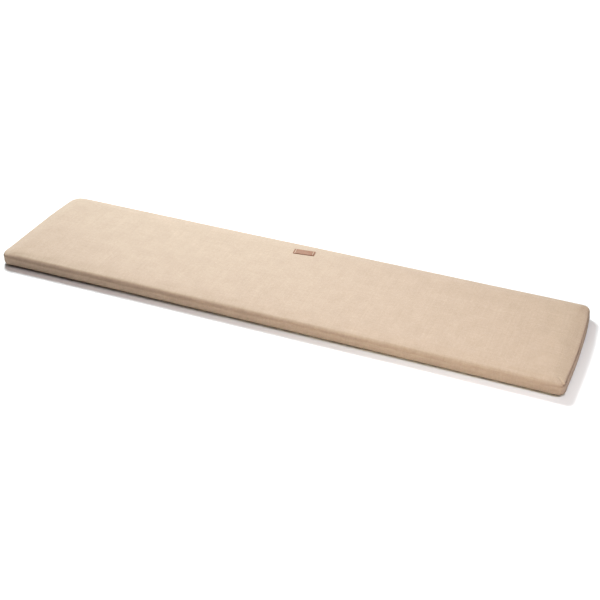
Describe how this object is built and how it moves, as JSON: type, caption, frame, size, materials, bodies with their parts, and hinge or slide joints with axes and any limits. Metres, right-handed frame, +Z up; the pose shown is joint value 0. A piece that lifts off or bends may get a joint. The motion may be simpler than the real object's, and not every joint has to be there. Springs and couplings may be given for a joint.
{
  "type": "bench cushion",
  "caption": "Long flat bench cushion with a boxed woven cover, two side seams and a small plain leather tab near its back edge.",
  "frame": {"origin": "middle of the cushion's underside, on the surface it rests on", "axes": "+X along the length, +Y across the seat towards the long edge that has the tab, +Z up through the thickness"},
  "size_m": [1.6, 0.39, 0.0438],
  "materials": {
    "fabric": "matt plain weave in pale beige",
    "leather": "tan, lightly burnished, bare"
  },
  "bodies": {
    "root": {"cushion": "fabric", "label": "leather"}
  },
  "joints": []
}
